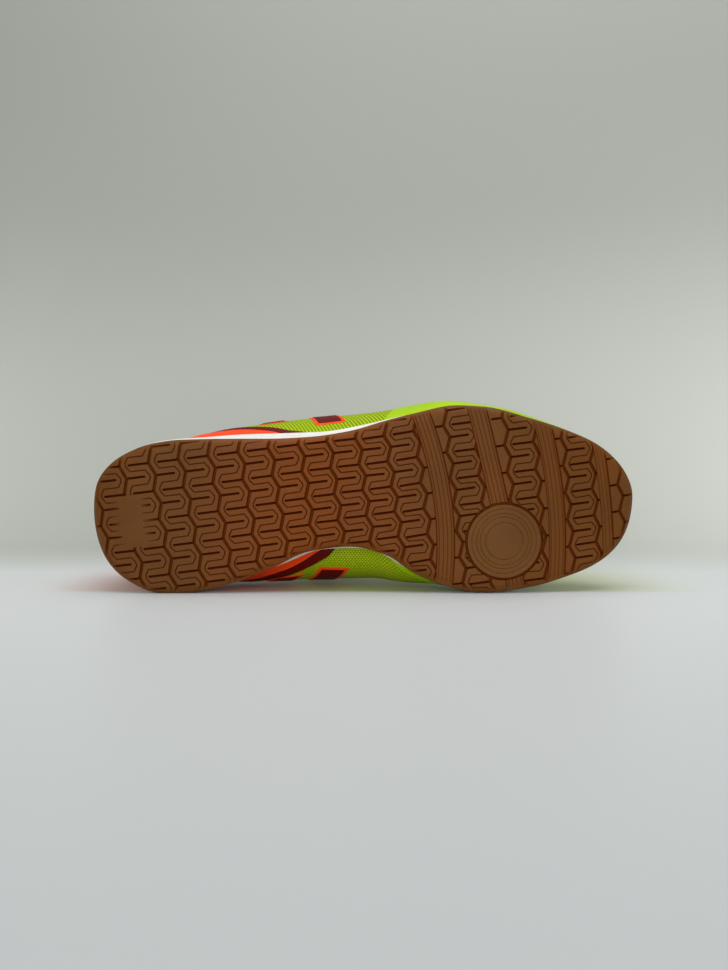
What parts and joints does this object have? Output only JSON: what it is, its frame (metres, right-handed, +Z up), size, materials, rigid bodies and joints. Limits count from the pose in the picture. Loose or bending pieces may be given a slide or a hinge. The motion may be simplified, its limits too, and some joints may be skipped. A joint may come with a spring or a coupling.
{
  "type": "indoor soccer shoe",
  "caption": "Low indoor soccer shoe for the right foot, lying on its inner side: knit upper, foam midsole and a flat gum sole with zigzag tread, flex channels and a pivot disc.",
  "frame": {"origin": "centre of the shoe's footprint on the surface that it lies on", "axes": "+X from heel to toe, +Z up, sole facing -Y, inner side of the shoe down"},
  "size_m": [0.2882, 0.1066, 0.104],
  "materials": {
    "gum_rubber": "satin moulded gum rubber",
    "white_foam": "matte moulded foam",
    "grey_textile": "brushed textile",
    "lime_knit": "engineered mesh",
    "neon_film": "smooth welded film",
    "orange_film": "smooth synthetic",
    "maroon_film": "smooth synthetic",
    "orange_lace": "flat woven lace"
  },
  "bodies": {
    "root": {"outsole": "gum_rubber", "midsole": "white_foam", "insole": "grey_textile", "upper": "lime_knit", "tongue": "lime_knit", "toe_guard": "neon_film", "eyestay": "neon_film", "heel_counter": "orange_film", "heel_band": "maroon_film", "lace_bar_1": "orange_lace", "lace_bar_2": "orange_lace", "lace_bar_3": "orange_lace", "lace_bar_4": "orange_lace", "lace_bar_5": "orange_lace", "lace_bar_6": "orange_lace"}
  },
  "joints": []
}
